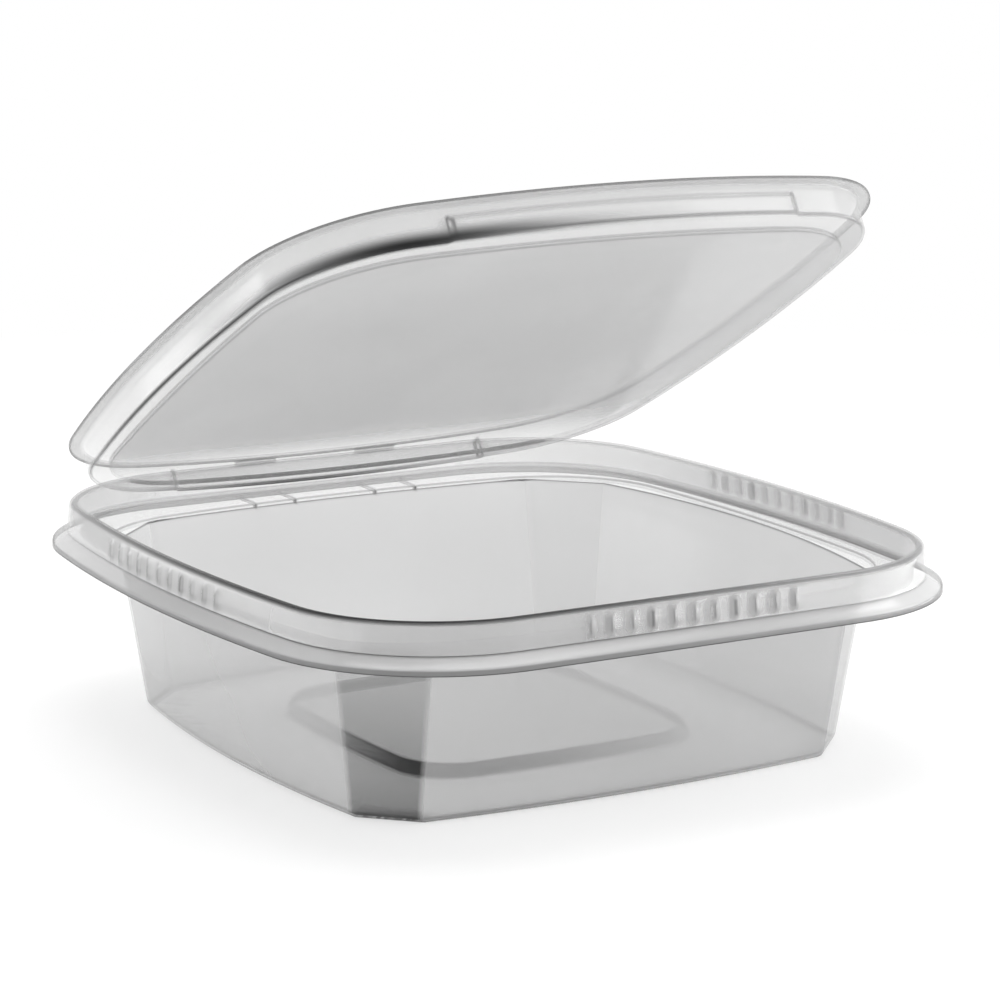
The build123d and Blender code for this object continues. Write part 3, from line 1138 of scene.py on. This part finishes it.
@dataclass
class Lid:
    """The plug lid: flange, plug wall, seat ring and sunk panel, with a snap lug at the front and the back.

    Attributes:
        sizes: sizes shared with the base.
        finish: material of the sheet.
        turn: turn from shut to rest.
        flange: width of the flange.
        play_x, play_y: play of the plug inside the rim, along X and along Y.
        bow_x, bow_y: how far the flange's left and right, and its front and back, swell.
        corner: corner radius of the flange.
        step_play: play between the panel's step and the mouth's step.
        lug_reach: how far a snap lug stands out.
        lug_height: height of a snap lug's face.
        lug_half: half length of a snap lug.
        streaks: dark streaks painted at the foot of the plug wall: a painted dark reflection at the front
            left, and painted shade along the hinge side.
    """

    sizes: PackSizes
    finish: bpy.types.Material
    turn: LidTurn
    flange: float = 3.0
    play_x: float = 0.5
    play_y: float = 2.95
    bow_x: float = 8.7
    bow_y: float = 11.2
    corner: float = 33.4
    step_play: float = 0.6
    lug_reach: float = 1.0
    lug_height: float = 4.0
    lug_half: float = 42.0
    streaks: tuple[PaintedStreak, ...] = (
        PaintedStreak(1.5, 1.85, 2.2, 2.4, azimuth=NEAR_CORNER + 4, power=20.0, depth=0.96),
        PaintedStreak(1.76, 1.84, 2.1, 2.2, azimuth=HINGE_SIDE + 5, power=8.0, depth=0.9),
    )

    def folds(self) -> list[Fold]:
        """Rings of the shut lid's middle surface, from the flange's edge to the middle of the panel.

        Returns:
            The folds in order.
        """
        size = self.sizes
        spread = size.spread
        half = size.sheet / 2
        top = size.rim_height + size.gap + half
        seat = size.ledge + size.gap + half
        panel = seat - size.step_depth
        wall = -self.flange - half
        step = size.step_run - self.step_play - half
        inward = self.flange - size.crest_width
        half_x = size.rim.half_x + inward - self.play_x
        half_y = size.rim.half_y + inward - self.play_y
        outline = BowedOutline(half_x, half_y, self.bow_x, self.bow_y, self.corner)
        seat_ring = outline.ring(spread, wall, seat)
        behind = facing(seat_ring, HINGE_SIDE, 0, 3.0)
        far_corner = facing(seat_ring, FAR_CORNER, 0, 30.0)
        # Painted shade along the seat's bend, darkest on the left and faint at the far corner
        seat_line = 0.95 * facing(seat_ring, LEFT_SIDE, 0.4) * (1 - 0.6 * far_corner)
        panel_ring = size.mouth.ring(spread, step, panel)
        # Painted shade: dark lines on the bends, and a little shade on the flange
        return [
            Fold(outline.ring(spread, 0, top), steps=4, line=0.7, shade=0.1, opacity=0.5 - 0.3 * behind),
            Fold(outline.ring(spread, wall, top), 0.9, 12, line=0.12, opacity=0.33 - 0.27 * behind),
            Fold(seat_ring, 0.8, 3, line=seat_line, opacity=0.3 - 0.18 * behind),
            Fold(size.mouth.ring(spread, step, seat), 0.35, line=0.45, opacity=0.4),
            Fold(panel_ring, 0.35, 10, line=0.45, opacity=0.56),
            Fold(panel_ring * [0.05, 0.05, 1]),
        ]

    def lugged(self, rows: np.ndarray, stations: np.ndarray) -> tuple[np.ndarray, np.ndarray]:
        """Push the snap lugs out of the lower plug wall, at the front and the back.

        The push is lug_reach along Y. It rises from nothing over a 45 degree slope above the lug's face,
        runs out over 1.4 mm at the lug's ends, and fades across the seat ring.

        Args:
            rows: middle surface of the shut lid.
            stations: station of each row.

        Returns:
            The middle surface with its lugs, and how near each point lies to a lug's slope, from 0 to 1.
        """
        seat = self.sizes.ledge + self.sizes.gap + self.sizes.sheet / 2
        height = seat + self.lug_height + self.lug_reach - rows[..., 2]
        push = np.clip(height, 0, self.lug_reach)
        push = push * np.clip((LidFold.STEP - stations) / (1 - BEND_SHARE), 0, 1)[:, None]
        length = smooth_step(self.lug_half - np.abs(rows[..., 0]), -0.7, 0.7)
        sides = column_sides()
        outward = (sides == Side.BACK.value) * 1.0 - (sides == Side.FRONT.value) * 1.0
        slope = np.clip(1 - np.abs(height / self.lug_reach - 0.5), 0, 1) * length * np.abs(outward)
        return rows + (push * length * outward)[..., None] * [0, 1, 0], slope

    def build(self) -> list[bpy.types.Object]:
        """Make the sheet, dress it and let it ride on the lid.

        Returns:
            The pieces.
        """
        lug_bend = 0.9
        lug_end = 0.9
        slope_shade = 0.35
        clear_from = 40.0
        clear_to = 62.0
        clear_share = 0.75
        folds = self.folds()
        rows, stations = bent_rows(folds)
        rows, slope = self.lugged(rows, stations)
        on_wall = ((stations > LidFold.WALL_TOP) & (stations < LidFold.SEAT))[:, None]
        tones = fold_tones(folds, stations)
        # Painted shade on the lugs' bent ends, and on the front lug's slope
        tones.darken(bend_along(rows, lug_bend) * on_wall * (np.abs(column_shares()) < lug_end))
        tones.darken(slope_shade * slope * on_wall * (column_sides() == Side.FRONT.value))
        # Inside the plug wall the sheet is clearer along the hinge side, as the photograph shows it
        clear = smooth_step(rows[..., 1], clear_from, clear_to) * (stations > LidFold.SEAT)[:, None]
        tones.opacity = tones.opacity * (1 - clear_share * clear)
        # Painted streaks: a painted dark reflection at the front left, painted shade along the hinge side
        for streak in self.streaks:
            tones.darken(streak.shade(stations, folds[LidFold.SEAT].ring))
        sheet = sheet_mesh("lid_sheet", rows, tones, self.sizes.sheet, self.turn)
        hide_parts(Sheet.LID.value)
        return [dressed(sheet, self.finish, Body.LID)]


@dataclass
class LivingHinge:
    """Two short hinge tabs: a bead on the crest, and a tab of the lid's sheet that ends round it.

    Attributes:
        sizes: sizes shared with the sheets.
        base_finish: material of the base's sheet.
        lid_finish: material of the lid's sheet.
        turn: turn of the lid, which holds the hinge line.
        bead: radius of a bead.
        play: room between a bead and its tab.
        web: thickness of the web that carries a bead.
        web_root: how far the web stands in the crest.
        root: how far the tab's root lies in front of the hinge line.
        slack: how much thinner than the sheet a tab is on each face.
    """

    sizes: PackSizes
    base_finish: bpy.types.Material
    lid_finish: bpy.types.Material
    turn: LidTurn
    bead: float = 0.5
    play: float = 0.1
    web: float = 0.7
    web_root: float = 0.4
    root: float = 1.3
    slack: float = 0.02

    def bead_section(self) -> np.ndarray:
        """Section of a bead on its web: most of a circle, closed by two legs down into the crest.

        Returns:
            Points by 2, as (y, z).
        """
        leg = math.asin(self.web / 2 / self.bead)
        angle = np.linspace(-math.pi / 2 + leg, 3 * math.pi / 2 - leg, 25)
        circle = np.stack([np.cos(angle), np.sin(angle)], axis=1) * self.bead + [self.turn.y, self.turn.z]
        foot = self.sizes.rim_height - self.web_root
        legs = [[self.turn.y - self.web / 2, foot], [self.turn.y + self.web / 2, foot]]
        return np.concatenate([circle, legs])

    def tab_section(self) -> np.ndarray:
        """Section of a tab: a strip of the sheet whose end is hollowed round the bead.

        Returns:
            Points by 2, as (y, z).
        """
        half = self.sizes.sheet / 2 - self.slack
        reach = self.bead + self.play
        swing = math.asin(half / reach)
        angle = math.pi + np.linspace(swing, -swing, 9)
        end = np.stack([np.cos(angle), np.sin(angle)], axis=1) * reach + [self.turn.y, self.turn.z]
        root = self.turn.y - self.root
        strip = [[root, self.turn.z + half], [root, self.turn.z - half]]
        return np.concatenate([end, strip])

    def build(self) -> list[bpy.types.Object]:
        """Make the beads and the tabs, dress them and let them ride on their bodies.

        Returns:
            The pieces.
        """
        middles = self.sizes.tab_middles
        width = self.sizes.tab_width
        beads = bar_mesh("base_hinge_beads", self.bead_section(), middles, width, None)
        tabs = bar_mesh("lid_hinge_tabs", self.tab_section(), middles, width, self.turn)
        return [
            dressed(beads, self.base_finish, Body.BASE),
            dressed(tabs, self.lid_finish, Body.LID),
        ]


def dressed(
    piece: bpy.types.Object, finish: bpy.types.Material, body: Body
) -> bpy.types.Object:
    """Give a piece its finish and tie it to its body.

    Args:
        piece: the mesh object.
        finish: its material.
        body: the body that it moves with.

    Returns:
        The same piece.
    """
    piece.data.materials.append(finish)
    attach(piece, body.value)
    return piece


@dataclass(frozen=True)
class Lamp:
    """A soft rectangular lamp that faces the pack.

    Attributes:
        name: name of the lamp.
        place: metres from the origin.
        size: metres across and up.
        power: watts.
        gloss_only: whether it is a card that shows in gloss alone.
    """

    name: str
    place: tuple[float, float, float]
    size: tuple[float, float]
    power: float
    gloss_only: bool = False

    def add(self) -> None:
        """Add the lamp to the scene."""
        lamp = bpy.data.lights.new(self.name, "AREA")
        lamp.shape = "RECTANGLE"
        lamp.size, lamp.size_y = self.size
        lamp.energy = self.power
        holder = bpy.data.objects.new(self.name, lamp)
        holder.location = self.place
        holder.rotation_euler = Vector(self.place).to_track_quat("Z", "Y").to_euler()
        holder.visible_diffuse = not self.gloss_only
        holder.visible_camera = False
        bpy.context.scene.collection.objects.link(holder)


@dataclass(frozen=True)
class Studio:
    """A pale floor, soft light and the camera.

    Attributes:
        azimuth: degrees from straight in front, positive towards the right.
        elevation: degrees above level.
        distance: from the camera to what it looks at.
        target: point that the camera looks at.
        focal_share: focal length as a share of the picture's width.
        floor_share: share of plain white in the floor under the pack; the rest takes the shadow.
        floor_near: distance in metres at which the floor begins to pass into plain white.
        floor_far: distance in metres from which it is plain white.
        room_light: strength of the room's even light.
        lamps: the lamps.
    """

    azimuth: float = -29.86
    elevation: float = 11.69
    distance: float = 841.0
    target: tuple[float, float, float] = (32.44, 49.48, 40.0)
    focal_share: float = 3.4433
    floor_share: float = 0.6
    floor_near: float = 0.25
    floor_far: float = 0.6
    room_light: float = 0.7
    lamps: tuple[Lamp, ...] = (
        Lamp("overhead_softbox", (0.2, 0.3, 1.5), (1.2, 1.2), 15.0),
        Lamp("right_softbox", (1.3, -0.5, 0.8), (0.9, 0.9), 7.0),
        Lamp("low_left_gloss_card", (-0.28, 0.09, 0.03), (0.5, 0.06), 0.25, True),
        Lamp("low_right_gloss_card", (0.27, -0.18, 0.03), (0.4, 0.06), 0.45, True),
        Lamp("far_left_gloss_card", (-0.46, 0.44, 0.075), (0.25, 0.05), 0.16, True),
        Lamp("high_right_gloss_card", (0.62, 0.31, 0.75), (0.35, 0.25), 1.2, True),
    )

    def add_camera(self) -> None:
        """Set the camera at the photograph's place, with no shift and no depth of field."""
        az = math.radians(self.azimuth)
        el = math.radians(self.elevation)
        towards = Vector((math.sin(az) * math.cos(el), -math.cos(az) * math.cos(el), math.sin(el)))
        camera = bpy.data.objects.new("camera", bpy.data.cameras.new("camera"))
        camera.location = (Vector(self.target) + towards * self.distance) * MM
        camera.rotation_euler = (-towards).to_track_quat("-Z", "Y").to_euler()
        camera.data.sensor_width = 36.0
        camera.data.lens = self.focal_share * camera.data.sensor_width
        camera.data.clip_start = 0.05
        bpy.context.scene.collection.objects.link(camera)
        bpy.context.scene.camera = camera

    @staticmethod
    def seen(tree: bpy.types.NodeTree) -> tuple[bpy.types.Node, str]:
        """Nodes that give 1 to the camera, to gloss and through clear sheet, and 0 to other rays.

        Args:
            tree: node tree that gets the nodes.

        Returns:
            The last node and its output's name.
        """
        path = add_node(tree, "LightPath", {})
        seen = path, "Is Camera Ray"
        for other in ("Is Glossy Ray", "Is Transmission Ray"):
            seen = add_node(tree, "Math", {0: seen, 1: (path, other)}, operation="MAXIMUM"), "Value"
        return seen

    def add_floor(self) -> None:
        """Lay a wide pale floor that takes the shadow near the pack and is plain white further off."""
        reach = 6.0
        corners = [(-reach, -reach, 0), (reach, -reach, 0), (reach, reach, 0), (-reach, reach, 0)]
        mesh = bpy.data.meshes.new("floor")
        mesh.from_pydata(corners, [], [(0, 1, 2, 3)])
        floor = bpy.data.objects.new("floor", mesh)
        bpy.context.scene.collection.objects.link(floor)
        # Matt white card: no gloss, so it shows only the soft shadow
        material, tree = new_material("matt_white_card_floor")
        place = add_node(tree, "TexCoord", {})
        away = add_node(tree, "VectorMath", {0: (place, "Object")}, operation="LENGTH")
        fade = {
            "From Min": self.floor_near,
            "From Max": self.floor_far,
            "To Min": self.floor_share,
            "To Max": 1.0,
        }
        white = add_node(tree, "MapRange", {"Value": (away, "Value"), **fade})
        share = add_node(tree, "Math", {0: (white, "Result"), 1: self.seen(tree)}, operation="MULTIPLY")
        card = add_node(tree, "BsdfDiffuse", {"Color": linear("#FDFDFD")})
        glow = add_node(tree, "Emission", {"Color": linear("#FFFFFF"), "Strength": 1.0})
        mixed = {0: (share, "Value"), 1: (card, "BSDF"), 2: (glow, "Emission")}
        shader = add_node(tree, "MixShader", mixed)
        add_node(tree, "OutputMaterial", {"Surface": (shader, "Shader")})
        mesh.materials.append(material)

    def add_world(self) -> None:
        """Light the scene evenly, and show white to the camera, to gloss and through clear sheet."""
        world = bpy.data.worlds.new("soft_white_room")
        world.use_nodes = True
        tree = world.node_tree
        tree.nodes.clear()
        ends = {"To Min": self.room_light, "To Max": 1.0}
        strength = add_node(tree, "MapRange", {"Value": self.seen(tree), **ends})
        light = {"Color": linear("#FFFFFF"), "Strength": (strength, "Result")}
        sky = add_node(tree, "Background", light)
        add_node(tree, "OutputWorld", {"Surface": (sky, "Background")})
        bpy.context.scene.world = world

    def build(self) -> None:
        """Set up the floor, world, lamps, camera and view transform."""
        self.add_floor()
        self.add_world()
        for lamp in self.lamps:
            lamp.add()
        self.add_camera()
        bpy.context.scene.view_settings.view_transform = "Standard"


def main() -> None:
    """Build the pack around its frame, in order, and log each piece's faces."""
    logging.basicConfig(level=logging.INFO, format="%(name)s: %(message)s")
    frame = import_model()
    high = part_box(Sheet.BASE.value)[1] / MM
    hinge = frame["joints"][0]
    hinge_y, hinge_z = (value / MM for value in hinge["pos_m"][1:])
    turn = LidTurn(hinge_y, hinge_z, -hinge["range_deg"][0])
    flange_reach = 4.6
    rim = BowedOutline(high.x - flange_reach, high.y - flange_reach, bow_x=8.7, bow_y=0.6, corner=36.2)
    sizes = PackSizes(rim, flange_reach)
    base_pet = ThermoformedPet("thermoformed_clear_pet_base").build()
    # The lid is the same PET as the base, with a darker flat colour: painted shade on the lid, seen from
    # below
    lid_pet = ThermoformedPet("thermoformed_clear_pet_lid", flat_colour="#C6C6C6").build()
    pieces = BaseTub(sizes, base_pet).build()
    pieces += Lid(sizes, lid_pet, turn).build()
    pieces += LivingHinge(sizes, base_pet, lid_pet, turn).build()
    for piece in pieces:
        log.info("built %s with %d faces", piece.name, len(piece.data.polygons))
    Studio().build()


if __name__ == "__main__":
    main()
